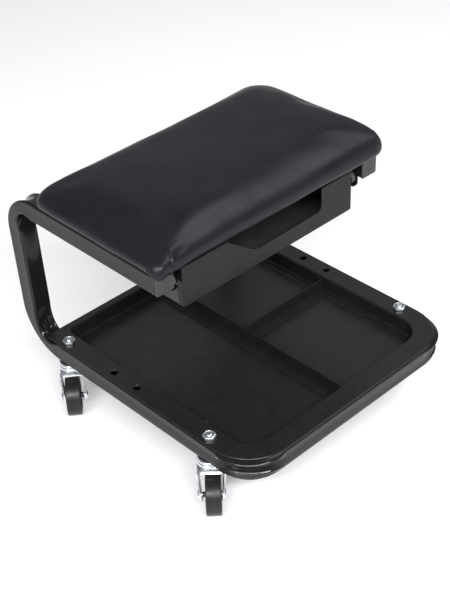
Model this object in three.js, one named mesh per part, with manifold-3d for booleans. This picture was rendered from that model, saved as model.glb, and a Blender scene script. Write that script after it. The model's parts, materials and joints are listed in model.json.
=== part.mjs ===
// Rolling mechanics seat: bent tube frame on four casters, tool tray, padded seat and a drawer.
// Millimetres, +Z up, the front faces -Y, X is the width, origin on the floor under the middle.
import * as THREE from 'three';
import { mergeVertices } from 'three/addons/utils/BufferGeometryUtils.js';
import Module from 'manifold-3d';

const wasm = await Module();
wasm.setup();

const GAP = 0.3;                  // clearance between parts that bear on each other

// Frame: one square tube bent into a base loop, two posts and two seat rails
const TUBE = 25.4;
const TUBE_WALL = 1.5;
const TUBE_CORNER = 3;
const TRACK_X = 166.5;            // tube centreline and caster stems, each side of the middle
const FRONT_RUN_Y = -191.4;       // centreline of the cross run at the front
const BASE_Z = 80.1;              // centreline of the base loop
const RAIL_Z = 279;               // centreline of the seat rails
const RAIL_END_Y = -68.4;         // open front ends of the seat rails
const FOOT_BEND_Y = 134.9;        // where each side run starts to turn up
const POST_LEAN = 3;              // degrees the posts lean back
const FRONT_BEND = 45;            // centreline bend radii
const FOOT_BEND = 50.8;
const RAIL_BEND = 38.1;
const FRONT_CRUSH = 7;            // how far a bend's inner wall is pressed in
const FOOT_CRUSH = 15;
const RAIL_CRUSH = 11.5;
const BEND_FLAT = 2.5;            // how far an upright bend's outer wall is pressed in
const BEND_GROOVE = 4;            // the groove along the middle of a bend's outer wall
const BEND_STEPS = 6;

// Tool tray: pressed sheet with a flange that lies on the base loop
const SHEET = 1.2;
const TRAY_X = 151.6;             // inside faces of the well
const TRAY_FRONT_Y = -176.4;
const TRAY_REAR_Y = 146.2;
const TRAY_FRONT_R = 31;
const TRAY_REAR_R = 8;
const TRAY_FLOOR_Z = 74.3;
const FLANGE_Z = 94.3;            // top of the flange
const FLANGE_X = 178.3;
const FLANGE_FRONT_Y = -202.7;
const FLANGE_REAR_Y = 157.3;
const FLANGE_FRONT_R = 57;
const ACCESSORY_HOLE_R = 4.5;
const ACCESSORY_HOLE_YS = [-2.8, 39];
const DIVIDER_TOP_Z = 91.8;
const DIVIDER_SHEET = 0.9;
const DIVIDER_FOOT = 14;
const LONG_DIVIDER_X = 4.5;       // right face of the front-to-back divider
const CROSS_DIVIDER_Y = -9.8;     // rear face of the side-to-side divider

// Casters
const WHEEL_R = 25;
const WHEEL_HALF_WIDTH = 9.25;
const TRAIL = 21;                 // wheel axis behind the swivel axis
const CASTERS = [                 // play: where the wheel stands along its axle
  { at: 'front_left', x: -TRACK_X, y: -127.1, turn: -43, play: 1.7 },
  { at: 'rear_left', x: -TRACK_X, y: 126.2, turn: -38, play: -1.7 },
  { at: 'front_right', x: TRACK_X, y: -127.1, turn: 137, play: 0 },
  { at: 'rear_right', x: TRACK_X, y: 126.2, turn: 142, play: 0 },
];
const STEM_R = 4;
const STEM_HOLE_R = 4.5;
const STEM_TOP_Z = 99.2;
const AXLE_R = 2.9;
const AXLE_HOLE_R = 3.25;

// Seat
const BOARD_X = 172;
const BOARD_FRONT_Y = -65;
const BOARD_REAR_Y = 131;
const BOARD_THICK = 9;
const BOARD_Z = RAIL_Z + TUBE / 2 + GAP;
const SEAT_SCREW_YS = [-40, 105];

// Drawer, its sheet rails and rollers
const DRAWER_X = 137.4;           // outside of the drawer's side walls
const DRAWER_FRONT_Y = -64.6;
const DRAWER_REAR_Y = 127.9;
const DRAWER_Z = 229.3;
const DRAWER_SIDE_TOP_Z = 270.3;
const DRAWER_FRONT_TOP_Z = 282.4;
const DRAWER_FRONT_X = 138.9;
const ROLLER_R = 8;
const ROLLER_Z = 266.8;
const ROLLER_FRONT_Y = -55;
const ROLLER_REAR_Y = 115;
const ROLLER_IN_X = 144.8;
const ROLLER_OUT_X = 150.8;

const MATERIALS = {
  enamel: { color: 0x39383c, roughness: 0.4, metalness: 0.3 },
  zinc: { color: 0xb9bcc0, roughness: 0.32, metalness: 0.85 },
  plastic: { color: 0x17171a, roughness: 0.55, metalness: 0 },
  rubber: { color: 0x1c1c1f, roughness: 0.7, metalness: 0 },
  wood: { color: 0x9a7a54, roughness: 0.8, metalness: 0 },
  vinyl: { color: 0x24242a, roughness: 0.45, metalness: 0 },
  roller: { color: 0x8a8a88, roughness: 0.5, metalness: 0 },
};

const radians = THREE.MathUtils.degToRad;
const vector = (x, y, z) => new THREE.Vector3(x, y, z);

// ---- solids -------------------------------------------------------------

function signedVolume(points, index) {
  let sum = 0;
  for (let i = 0; i < index.length; i += 3) {
    const [a, b, c] = [points[index[i]], points[index[i + 1]], points[index[i + 2]]];
    sum += a.dot(b.clone().cross(c)) / 6;
  }
  return sum;
}

// Skins a stack of rings that all have the same number of points. An open stack is capped
// at both ends, so its end rings must be convex; a closed one joins its last ring to its first.
function loft(rings, closed = false) {
  const n = rings[0].length;
  const points = rings.flat();
  const index = [];
  const spans = closed ? rings.length : rings.length - 1;
  for (let k = 0; k < spans; k += 1) {
    const a = k * n;
    const b = ((k + 1) % rings.length) * n;
    for (let i = 0; i < n; i += 1) {
      const j = (i + 1) % n;
      index.push(a + i, a + j, b + j, a + i, b + j, b + i);
    }
  }
  if (!closed) {
    const last = (rings.length - 1) * n;
    for (let i = 1; i < n - 1; i += 1) {
      index.push(0, i + 1, i, last, last + i, last + i + 1);
    }
  }
  if (signedVolume(points, index) < 0) index.reverse();
  const geometry = new THREE.BufferGeometry().setFromPoints(points);
  geometry.setIndex(index);
  return solid(geometry);
}

function solid(geometry) {
  geometry.deleteAttribute('normal');
  geometry.deleteAttribute('uv');
  const merged = mergeVertices(geometry, 1e-4);
  const mesh = new wasm.Mesh({
    numProp: 3,
    vertProperties: new Float32Array(merged.attributes.position.array),
    triVerts: new Uint32Array(merged.index.array),
  });
  return new wasm.Manifold(mesh);
}

function join(...solids) {
  return solids.reduce((whole, next) => whole.add(next));
}

function cut(from, ...tools) {
  return tools.reduce((whole, tool) => whole.subtract(tool), from);
}

function box(x0, x1, y0, y1, z0, z1) {
  const geometry = new THREE.BoxGeometry(x1 - x0, y1 - y0, z1 - z0);
  geometry.translate((x0 + x1) / 2, (y0 + y1) / 2, (z0 + z1) / 2);
  return solid(geometry);
}

function circle(r, z, sides) {
  const at = (i) => (2 * Math.PI * i) / sides;
  return Array.from({ length: sides }, (_, i) => vector(r * Math.cos(at(i)), r * Math.sin(at(i)), z));
}

// A solid of revolution about Z from [radius, z] pairs, without a bore.
function turned(profile, sides) {
  return loft(profile.map(([r, z]) => circle(r, z, sides)));
}

// A solid of revolution about Z whose [radius, z] profile closes on itself, so it has a bore.
function turnedRing(profile, sides) {
  return loft(profile.map(([r, z]) => circle(r, z, sides)), true);
}

function pin(x, y, z0, z1, r, sides = 16) {
  return turned([[r, z0], [r, z1]], sides).translate([x, y, 0]);
}

function extruded(shape, depth, curveSegments = 4) {
  return solid(new THREE.ExtrudeGeometry(shape, { depth, curveSegments, bevelEnabled: false }));
}

function outline(points) {
  return new THREE.Shape(points.map(([x, y]) => new THREE.Vector2(x, y)));
}

// Turns a solid drawn flat in XY so that its drawing lies in YZ and its depth runs along X.
function drawnInYZ(part) {
  return part.rotate([90, 0, 90]);
}

// Turns a solid drawn flat in XY so that its drawing lies in XZ, with its depth centred on Y.
function drawnInXZ(part, y0, depth) {
  return part.rotate([90, 0, 0]).translate([0, y0 + depth, 0]);
}

function roundedRect(x, front, rear, frontR, rearR, z, steps = 5) {
  const corners = [
    [x - rearR, rear - rearR, rearR, 0],
    [-x + rearR, rear - rearR, rearR, 90],
    [-x + frontR, front + frontR, frontR, 180],
    [x - frontR, front + frontR, frontR, 270],
  ];
  return corners.flatMap(([cx, cy, r, start]) => {
    const at = (i) => radians(start + (90 * i) / steps);
    return Array.from({ length: steps + 1 }, (_, i) => (
      vector(cx + r * Math.cos(at(i)), cy + r * Math.sin(at(i)), z)
    ));
  });
}

// ---- frame --------------------------------------------------------------

// Outline of the square tube as [side, out] pairs, with a point in the middle of each face.
function tubeOutline(half, corner) {
  const points = [];
  for (let face = 0; face < 4; face += 1) {
    const turn = radians(90 * face);
    const local = [[half, 0]];
    for (let i = 0; i <= 2; i += 1) {
      const a = radians(45 * i);
      local.push([half - corner + corner * Math.cos(a), half - corner + corner * Math.sin(a)]);
    }
    local.forEach(([p, q]) => points.push([
      p * Math.cos(turn) - q * Math.sin(turn),
      p * Math.sin(turn) + q * Math.cos(turn),
    ]));
  }
  return points;
}

// One place along the tube: its point, its direction and the two axes of its cross-section.
function startOfTube() {
  return { at: vector(-TRACK_X, RAIL_END_Y, RAIL_Z), u: vector(-1, 0, 0), v: vector(0, 0, 1), press: 0 };
}

function straight(places, length) {
  const last = places[places.length - 1];
  const along = last.v.clone().cross(last.u).negate();
  places.push({ ...last, at: last.at.clone().addScaledVector(along, length), press: 0 });
}

// Bends away from the cross-section axis named by out ('u' or 'v'), crushing the inner wall.
function bend(places, radius, degrees, out, crush) {
  const last = places[places.length - 1];
  const centre = last.at.clone().addScaledVector(last[out], -radius);
  const axis = out === 'v' ? last.u : last.v.clone().negate();
  for (let i = 1; i <= BEND_STEPS; i += 1) {
    const angle = radians((degrees * i) / BEND_STEPS);
    const turn = (w) => w.clone().applyAxisAngle(axis, angle);
    places.push({
      at: centre.clone().add(turn(last.at.clone().sub(centre))),
      u: turn(last.u),
      v: turn(last.v),
      press: Math.sin((Math.PI * i) / BEND_STEPS),
      out,
      crush,
    });
  }
}

function tubePlaces() {
  const lean = radians(POST_LEAN);
  const footTopZ = BASE_Z + FOOT_BEND * (1 - Math.sin(lean));
  const railBendZ = RAIL_Z - RAIL_BEND * (1 + Math.sin(lean));
  const post = (railBendZ - footTopZ) / Math.cos(lean);
  const postTopY = FOOT_BEND_Y + FOOT_BEND * Math.cos(lean) + post * Math.sin(lean);
  const rail = postTopY - RAIL_BEND * Math.cos(lean) - RAIL_END_Y;
  const side = FOOT_BEND_Y - FRONT_RUN_Y - FRONT_BEND;
  const front = 2 * (TRACK_X - FRONT_BEND);
  const places = [startOfTube()];
  straight(places, rail);
  bend(places, RAIL_BEND, 90 + POST_LEAN, 'v', RAIL_CRUSH);
  straight(places, post);
  bend(places, FOOT_BEND, 90 - POST_LEAN, 'v', FOOT_CRUSH);
  straight(places, side);
  bend(places, FRONT_BEND, 90, 'u', FRONT_CRUSH);
  straight(places, front);
  bend(places, FRONT_BEND, 90, 'u', FRONT_CRUSH);
  straight(places, side);
  bend(places, FOOT_BEND, 90 - POST_LEAN, 'v', FOOT_CRUSH);
  straight(places, post);
  bend(places, RAIL_BEND, 90 + POST_LEAN, 'v', RAIL_CRUSH);
  straight(places, rail);
  return places;
}

function tubeRing(place, half, corner) {
  return tubeOutline(half, corner).map(([a, b]) => {
    const across = { u: a, v: b };
    if (place.press > 0) {
      const side = place.out === 'u' ? 'v' : 'u';
      const depth = half - across[place.out];
      const middle = Math.abs(across[side]) < 1e-6 && depth < 1e-6;
      const kept = 1 - (place.crush * place.press) / (2 * half);
      const pressed = (side === 'u' ? BEND_FLAT : 0) + (middle ? BEND_GROOVE : 0);
      across[place.out] = half - depth * kept - pressed * place.press;
    }
    return place.at.clone().addScaledVector(place.u, across.u).addScaledVector(place.v, across.v);
  });
}

function frameTube() {
  const places = tubePlaces();
  const skin = (half, corner) => places.map((place) => tubeRing(place, half, corner));
  const outer = skin(TUBE / 2, TUBE_CORNER);
  const inner = skin(TUBE / 2 - TUBE_WALL, TUBE_CORNER - TUBE_WALL);
  const tools = CASTERS.map(({ x, y }) => pin(x, y, BASE_Z - TUBE, BASE_Z + TUBE, STEM_HOLE_R, 12));
  for (const x of [-TRACK_X, TRACK_X]) {
    ACCESSORY_HOLE_YS.forEach((y) => tools.push(pin(x, y + 1, BASE_Z, BASE_Z + TUBE, ACCESSORY_HOLE_R)));
    SEAT_SCREW_YS.forEach((y) => tools.push(pin(x, y, RAIL_Z - TUBE, RAIL_Z + TUBE, 2.8, 10)));
  }
  return cut(loft([...outer, ...inner.reverse()], true), ...tools);
}

function railEndCap(x) {
  const ring = (half, y) => tubeOutline(half, 2).map(([a, b]) => vector(x + a, y, RAIL_Z + b));
  const plug = TUBE / 2 - TUBE_WALL - GAP;
  const back = RAIL_END_Y - GAP;
  return loft([
    ring(plug, back + 8),
    ring(plug, back),
    ring(TUBE / 2, back),
    ring(TUBE / 2, back - 1.4),
    ring(TUBE / 2 - 0.9, back - 2.2),
  ]);
}

// ---- tray ---------------------------------------------------------------

function wellRing(offset, z) {
  return roundedRect(TRAY_X + offset, TRAY_FRONT_Y - offset, TRAY_REAR_Y + offset,
    TRAY_FRONT_R + offset, TRAY_REAR_R + offset, z);
}

function flangeRing(z) {
  return roundedRect(FLANGE_X, FLANGE_FRONT_Y, FLANGE_REAR_Y, FLANGE_FRONT_R, 5, z);
}

function toolTray() {
  const pressed = loft([
    wellRing(SHEET - 1.5, TRAY_FLOOR_Z - SHEET),
    wellRing(SHEET, TRAY_FLOOR_Z - SHEET + 1.5),
    wellRing(SHEET, FLANGE_Z - SHEET - 1.5),
    wellRing(SHEET + 1.3, FLANGE_Z - SHEET),
    flangeRing(FLANGE_Z - SHEET),
    flangeRing(FLANGE_Z),
    wellRing(1.7, FLANGE_Z),
    wellRing(0, FLANGE_Z - 1.7),
    wellRing(0, TRAY_FLOOR_Z + 1.5),
    wellRing(-1.5, TRAY_FLOOR_Z),
  ]);
  const tools = CASTERS.map(({ x, y }) => pin(x, y, TRAY_FLOOR_Z, FLANGE_Z + 1, STEM_HOLE_R, 12));
  for (const x of [-TRACK_X, TRACK_X]) {
    ACCESSORY_HOLE_YS.forEach((y) => tools.push(pin(x, y, FLANGE_Z - 3, FLANGE_Z + 1, ACCESSORY_HOLE_R)));
  }
  return cut(pressed, ...tools);
}

// A divider's section: an upright sheet with a foot turned out at its bottom.
function dividerSection() {
  const top = DIVIDER_TOP_Z - TRAY_FLOOR_Z - GAP;
  return outline([
    [-DIVIDER_FOOT, 0],
    [DIVIDER_SHEET, 0],
    [DIVIDER_SHEET, top],
    [0, top],
    [0, DIVIDER_SHEET],
    [-DIVIDER_FOOT, DIVIDER_SHEET],
  ]);
}

// The foot stops short of the well's rounded lower edge; the upright above it reaches the wall.
function longDivider() {
  const front = TRAY_FRONT_Y + 1.8;
  const length = TRAY_REAR_Y - 1.8 - front;
  const left = LONG_DIVIDER_X - DIVIDER_SHEET;
  const section = drawnInXZ(extruded(dividerSection(), length), front, length)
    .translate([left, 0, TRAY_FLOOR_Z + GAP]);
  const upright = box(left, LONG_DIVIDER_X, TRAY_FRONT_Y + GAP, TRAY_REAR_Y - GAP,
    TRAY_FLOOR_Z + 2, DIVIDER_TOP_Z);
  return join(section, upright);
}

function crossDivider() {
  const left = LONG_DIVIDER_X + GAP;
  const length = TRAY_X - 1.8 - left;
  const front = CROSS_DIVIDER_Y - DIVIDER_SHEET;
  const section = drawnInYZ(extruded(dividerSection(), length))
    .translate([left, front, TRAY_FLOOR_Z + GAP]);
  const upright = box(left, TRAY_X - GAP, front, CROSS_DIVIDER_Y, TRAY_FLOOR_Z + 2, DIVIDER_TOP_Z);
  return join(section, upright);
}

// ---- casters, each drawn with its stem on the Z axis and its wheel towards -Y ------------

const RACE_TOP_Z = BASE_Z - TUBE / 2 - GAP;

function stemBolt() {
  return turned([
    [6, 52],
    [8, 53.2],
    [8, 55.4],
    [STEM_R, 55.4],
    [STEM_R, STEM_TOP_Z - 1.2],
    [2.8, STEM_TOP_Z],
  ], 12);
}

function stemNut() {
  const foot = FLANGE_Z + GAP;
  const hex = turned([[8.1, foot], [8.1, foot + 2.6], [7, foot + 3.8]], 6);
  return cut(hex, pin(0, 0, foot - 1, foot + 5, STEM_R + GAP, 12));
}

// The fixed half of the ball race: a pressed cup under the tube, open downwards.
function raceCup() {
  return turnedRing([
    [STEM_R + 0.35, RACE_TOP_Z],
    [15.2, RACE_TOP_Z],
    [16.6, RACE_TOP_Z - 1.4],
    [16.6, 58.4],
    [15.2, 58.4],
    [15.2, RACE_TOP_Z - 2.1],
    [STEM_R + 0.35, RACE_TOP_Z - 2.1],
  ], 18);
}

// The ring of caged balls between the cup and the fork crown.
function ballRing() {
  return turnedRing([[9, 60.6], [11, 59.6], [13, 60.6], [13, 63.4], [11, 64.5], [9, 63.4]], 16);
}

function forkLeg() {
  const shape = outline([[13, 57.6], [11.5, 51], [-9, 27], [-12.9, 21.3]]);
  shape.absarc(-TRAIL, WHEEL_R, 8, radians(-27), radians(-190), true);
  shape.lineTo(-18.5, 50);
  shape.lineTo(-16, 57.6);
  const bore = new THREE.Path();
  bore.absarc(-TRAIL, WHEEL_R, AXLE_HOLE_R, 0, 2 * Math.PI, false);
  shape.holes.push(bore);
  return drawnInYZ(extruded(shape, 1.8, 5)).translate([12, 0, 0]);
}

// The legs stand closer together at the axle than at the crown.
function splayed(leg) {
  return leg.warp((p) => {
    p[0] += (p[2] - WHEEL_R) * 0.13;
  });
}

function fork() {
  const leg = splayed(forkLeg());
  const plate = box(-17.9, 17.9, -16, 13, 55.8, 57.6);
  const boss = turned([[14.6, 57], [14.6, 58.4], [13.4, 59.2]], 18);
  return cut(join(plate, boss, leg, leg.mirror([1, 0, 0])), pin(0, 0, 50, 62, STEM_R + 0.5, 12));
}

function onAxle(part) {
  return part.rotate([0, 90, 0]).translate([0, -TRAIL, WHEEL_R]);
}

function wheel(play) {
  const half = [[3.3, 9.4], [5.2, 9.4], [6, 8.6], [8, 5], [18, 5], [19.6, WHEEL_HALF_WIDTH],
    [23.6, WHEEL_HALF_WIDTH], [WHEEL_R, 7.2]];
  const mirrored = half.map(([r, z]) => [r, -z]).reverse();
  return onAxle(turnedRing([...half, ...mirrored], 24).translate([0, 0, play]));
}

function axleBolt() {
  const shank = turned([[2.3, -17.7], [AXLE_R, -17.2], [AXLE_R, 15.2]], 10);
  const head = turned([[5.7, 14.7], [5.7, 15.7], [4.8, 16.3]], 6);
  return onAxle(join(shank, head));
}

function axleNut() {
  const hex = turned([[5, -17], [5.7, -16.5], [5.7, -14.7]], 6);
  return onAxle(cut(hex, turned([[AXLE_R + GAP, -22], [AXLE_R + GAP, -14]], 10)));
}

const CASTER_PARTS = {
  stem_bolt: [stemBolt, 'zinc'],
  stem_nut: [stemNut, 'zinc'],
  race_cup: [raceCup, 'zinc'],
  ball_ring: [ballRing, 'zinc'],
  fork: [fork, 'zinc'],
  wheel: [wheel, 'rubber'],
  axle_bolt: [axleBolt, 'zinc'],
  axle_nut: [axleNut, 'zinc'],
};

// ---- seat ---------------------------------------------------------------

function seatBoard() {
  const board = box(-BOARD_X, BOARD_X, BOARD_FRONT_Y, BOARD_REAR_Y, BOARD_Z, BOARD_Z + BOARD_THICK);
  const holes = [-TRACK_X, TRACK_X].flatMap((x) => (
    SEAT_SCREW_YS.map((y) => pin(x, y, BOARD_Z - 1, BOARD_Z + 7, 2.6, 10))
  ));
  return cut(board, ...holes);
}

function seatScrew(x, y) {
  const head = RAIL_Z - TUBE / 2 - GAP;
  return turned([[3.4, head - 2.4], [5, head - 1.4], [5, head], [2.3, head], [2.3, BOARD_Z + 5.4],
    [0.8, BOARD_Z + 6.6]], 10).translate([x, y, 0]);
}

// The cushion wraps the board's edges and stands on the seat rails. It is fuller on the right.
function seatPad() {
  const ring = (left, right, inset, frontR, rearR, rise) => (
    roundedRect((left + right) / 2, -78 + inset, 145 - inset, frontR, rearR, BOARD_Z + rise)
      .map((point) => point.add(vector((right - left) / 2, 0, 0)))
  );
  const recess = (rise) => (
    roundedRect(BOARD_X + 0.4, BOARD_FRONT_Y - 0.4, BOARD_REAR_Y + 0.4, 0.5, 0.5, BOARD_Z + rise)
  );
  return loft([
    recess(BOARD_THICK + 0.4),
    recess(0),
    ring(179.5, 181.5, 4, 6, 10, 0),
    ring(182.5, 185, 1, 9, 16, 4),
    ring(183.5, 187.5, 0, 12, 22, 10),
    ring(181, 188, 2.5, 15, 28, 16),
    ring(174, 186.5, 9, 20, 34, 22.5),
    ring(158, 180.5, 22, 26, 42, 30),
    ring(132, 165, 46, 30, 48, 35.5),
    ring(92, 120, 88, 15, 16, 38),
  ]);
}

// ---- drawer -------------------------------------------------------------

// Floor, sides and back; the face panel closes the front.
function drawerBody() {
  const shell = box(-DRAWER_X, DRAWER_X, DRAWER_FRONT_Y, DRAWER_REAR_Y, DRAWER_Z, DRAWER_SIDE_TOP_Z);
  const space = box(-DRAWER_X + SHEET, DRAWER_X - SHEET, DRAWER_FRONT_Y - 1, DRAWER_REAR_Y - SHEET,
    DRAWER_Z + SHEET, DRAWER_SIDE_TOP_Z + 1);
  return cut(shell, space);
}

// The face panel has a hand cut-out in its top edge: a slope on the left, upright on the right.
function drawerFront() {
  const shape = outline([[-DRAWER_FRONT_X, DRAWER_Z], [DRAWER_FRONT_X, DRAWER_Z],
    [DRAWER_FRONT_X, DRAWER_FRONT_TOP_Z], [86, DRAWER_FRONT_TOP_Z], [86, 262]]);
  shape.quadraticCurveTo(86, 251.5, 74, 251.2);
  shape.lineTo(-15, 249.8);
  shape.quadraticCurveTo(-25, 249.7, -33, 255.6);
  shape.lineTo(-70, DRAWER_FRONT_TOP_Z);
  shape.lineTo(-DRAWER_FRONT_X, DRAWER_FRONT_TOP_Z);
  const face = DRAWER_FRONT_Y - GAP - SHEET;
  const panel = drawnInXZ(extruded(shape, SHEET), face, SHEET);
  const inner = DRAWER_FRONT_X - SHEET;
  const lip = box(inner, DRAWER_FRONT_X, face, face + 8.6, DRAWER_Z, DRAWER_FRONT_TOP_Z);
  return join(panel, lip, lip.mirror([1, 0, 0]));
}

// The channel fixed inside a seat rail, drawn for the right-hand side.
function fixedRunner() {
  const web = 153.4;
  const section = outline([
    [143.5, 257.3], [web, 257.3], [web, 283.3], [143.5, 283.3], [143.5, 282.1],
    [web - SHEET, 282.1], [web - SHEET, 258.5], [143.5, 258.5],
  ]);
  return drawnInXZ(extruded(section, 192), -64, 192);
}

// The angle fixed to the drawer side, drawn for the right-hand side.
function drawerRunner() {
  const web = DRAWER_X + GAP;
  const lip = ROLLER_Z + ROLLER_R + GAP;
  const section = outline([
    [web, 257.5], [web + SHEET, 257.5], [web + SHEET, lip], [ROLLER_OUT_X, lip],
    [ROLLER_OUT_X, lip + SHEET], [web, lip + SHEET],
  ]);
  return drawnInXZ(extruded(section, 181), -55.5, 181);
}

function acrossRunner(part, y) {
  return part.rotate([0, 90, 0]).translate([0, y, ROLLER_Z]);
}

function roller(y) {
  const [a, b] = [ROLLER_IN_X, ROLLER_OUT_X];
  return acrossRunner(turnedRing([[2.4, a], [7.2, a], [ROLLER_R, a + 0.8], [ROLLER_R, b - 0.8],
    [7.2, b], [2.4, b]], 16), y);
}

function frontRollerPin() {
  return acrossRunner(turned([[3.6, 143.7], [3.6, 144.4], [2, 144.4], [2, 151.1], [4, 151.1],
    [4, 151.9]], 10), ROLLER_FRONT_Y);
}

function rearRollerPin() {
  return acrossRunner(turned([[4, 139.2], [4, 144.4], [2, 144.4], [2, 151.1], [3.6, 151.1],
    [3.6, 151.8]], 10), ROLLER_REAR_Y);
}

const PAIRED_PARTS = {
  runner_fixed: [fixedRunner, 'enamel'],
  runner_drawer: [drawerRunner, 'enamel'],
  roller_front: [() => roller(ROLLER_FRONT_Y), 'roller'],
  roller_rear: [() => roller(ROLLER_REAR_Y), 'roller'],
  roller_pin_front: [frontRollerPin, 'zinc'],
  roller_pin_rear: [rearRollerPin, 'zinc'],
};

// ---- assembly -----------------------------------------------------------

const seat = new THREE.Group();
seat.name = 'rolling_mechanics_seat';

function place(name, part, finish) {
  const mesh = part.getMesh();
  const geometry = new THREE.BufferGeometry();
  geometry.setAttribute('position', new THREE.BufferAttribute(new Float32Array(mesh.vertProperties), 3));
  geometry.setIndex(new THREE.BufferAttribute(new Uint32Array(mesh.triVerts), 1));
  geometry.computeVertexNormals();
  const piece = new THREE.Mesh(geometry, new THREE.MeshStandardMaterial(MATERIALS[finish]));
  piece.name = name;
  seat.add(piece);
}

place('frame_tube', frameTube(), 'enamel');
place('end_cap_left', railEndCap(-TRACK_X), 'plastic');
place('end_cap_right', railEndCap(TRACK_X), 'plastic');
place('tool_tray', toolTray(), 'enamel');
place('divider_long', longDivider(), 'enamel');
place('divider_cross', crossDivider(), 'enamel');
place('seat_board', seatBoard(), 'wood');
place('seat_pad', seatPad(), 'vinyl');
place('drawer_body', drawerBody(), 'enamel');
place('drawer_front', drawerFront(), 'enamel');

for (const [x, side] of [[-TRACK_X, 'left'], [TRACK_X, 'right']]) {
  SEAT_SCREW_YS.forEach((y, i) => {
    place(`seat_screw_${['front', 'rear'][i]}_${side}`, seatScrew(x, y), 'zinc');
  });
}

for (const [name, [make, finish]] of Object.entries(PAIRED_PARTS)) {
  const right = make();
  place(`${name}_left`, right.mirror([1, 0, 0]), finish);
  place(`${name}_right`, right, finish);
}

for (const { at, x, y, turn, play } of CASTERS) {
  for (const [name, [make, finish]] of Object.entries(CASTER_PARTS)) {
    place(`${name}_${at}`, make(play).rotate([0, 0, turn]).translate([x, y, 0]), finish);
  }
}

export default seat;
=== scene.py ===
import json
import math

import bmesh
import bpy
import numpy as np
from mathutils import Matrix, Vector, noise


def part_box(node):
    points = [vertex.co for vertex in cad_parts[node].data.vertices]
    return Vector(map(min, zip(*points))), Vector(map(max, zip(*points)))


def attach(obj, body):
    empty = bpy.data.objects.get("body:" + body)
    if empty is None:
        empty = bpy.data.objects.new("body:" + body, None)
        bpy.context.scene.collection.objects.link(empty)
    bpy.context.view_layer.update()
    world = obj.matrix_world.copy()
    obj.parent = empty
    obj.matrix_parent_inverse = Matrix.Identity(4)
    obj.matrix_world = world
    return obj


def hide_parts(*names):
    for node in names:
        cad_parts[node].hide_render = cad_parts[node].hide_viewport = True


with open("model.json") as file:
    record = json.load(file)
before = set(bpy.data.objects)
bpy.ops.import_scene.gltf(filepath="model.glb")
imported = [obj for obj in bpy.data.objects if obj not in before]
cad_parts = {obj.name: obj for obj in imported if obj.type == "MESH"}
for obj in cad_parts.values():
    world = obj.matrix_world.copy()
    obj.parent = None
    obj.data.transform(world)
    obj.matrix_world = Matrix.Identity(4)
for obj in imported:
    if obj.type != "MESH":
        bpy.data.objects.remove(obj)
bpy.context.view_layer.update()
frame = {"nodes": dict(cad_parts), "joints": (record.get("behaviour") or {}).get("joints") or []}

NODES = frame["nodes"]
JOINTS = {joint["name"]: joint for joint in frame["joints"]}
SIDES = {"left": -1, "right": 1}
CORNERS = ("front_left", "rear_left", "front_right", "rear_right")

# ---- dimensions, in millimetres; all but the dish are the CAD's --------------------------

MM = 0.001               # one millimetre in metres
HALF = 12.7              # half the tube's width
WALL = 1.5
CORNER = 3.0             # the tube's outer corner radius
DISH = 0.18              # how far the middle of each side of the tube is sunk
FOOT_BEND_Y = 134.9      # where each side run starts to turn up
POST_LEAN = math.radians(3)
FRONT_BEND, FOOT_BEND, RAIL_BEND = 45.0, 50.8, 38.1
CAP_HEAD = 2.5           # the end cap's head, which stands outside the rail
STEM_HOLE_R, STEM_YS = 4.5, (-127.1, 126.2)
PEG_HOLE_R, PEG_YS = 4.5, (-2.8, 39)
PEG_SHIFT = 1            # the tube's peg holes lie this much behind the tray's
SCREW_HOLE_R, SCREW_YS = 2.8, (-40, 105)
SHEET = 1.2


def bell(value, middle, width):
    return math.exp(-(((value - middle) / width) ** 2))


def ramp(value, start, end):
    t = min(1.0, max(0.0, (value - start) / (end - start)))
    return t * t * (3 - 2 * t)


def box_mm(node):
    lo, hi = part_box(node)
    return lo * 1000, hi * 1000


TUBE_LO, TUBE_HI = box_mm("frame_tube")
TRACK_X = TUBE_HI.x - HALF
BASE_Z = TUBE_LO.z + HALF
RAIL_Z = TUBE_HI.z - HALF
FRONT_RUN_Y = TUBE_LO.y + HALF
RAIL_END_Y = box_mm("end_cap_left")[0].y + CAP_HEAD


# ---- mesh helpers ------------------------------------------------------------------------

def new_object(name, mesh):
    obj = bpy.data.objects.new(name, mesh)
    bpy.context.scene.collection.objects.link(obj)
    return obj


def mesh_from(name, points, faces):
    """A mesh object from points in millimetres, its faces turned outward."""
    mesh = bpy.data.meshes.new(name)
    mesh.from_pydata([tuple(c * MM for c in p) for p in points], [], faces)
    bm = bmesh.new()
    bm.from_mesh(mesh)
    bmesh.ops.remove_doubles(bm, verts=bm.verts, dist=1e-7)
    bmesh.ops.recalc_face_normals(bm, faces=bm.faces)
    bm.to_mesh(mesh)
    bm.free()
    return new_object(name, mesh)


def skin(rings, closed=False):
    """Points and faces of a stack of equal rings; an open stack is capped at both ends."""
    n = len(rings[0])
    points = [p for ring in rings for p in ring]
    faces = []
    for k in range(len(rings) if closed else len(rings) - 1):
        a, b = k * n, (k + 1) % len(rings) * n
        faces += [(a + i, a + (i + 1) % n, b + (i + 1) % n, b + i) for i in range(n)]
    if not closed:
        faces.append(tuple(range(n)))
        faces.append(tuple((len(rings) - 1) * n + i for i in range(n)))
    return points, faces


def circle(r, z, steps):
    turns = (2 * math.pi * i / steps for i in range(steps))
    return [Vector((r * math.cos(a), r * math.sin(a), z)) for a in turns]


def lathe(name, profile, steps=48, closed=True):
    """A profile of (radius, z) pairs turned round the Z axis."""
    return mesh_from(name, *skin([circle(r, z, steps) for r, z in profile], closed))


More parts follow.
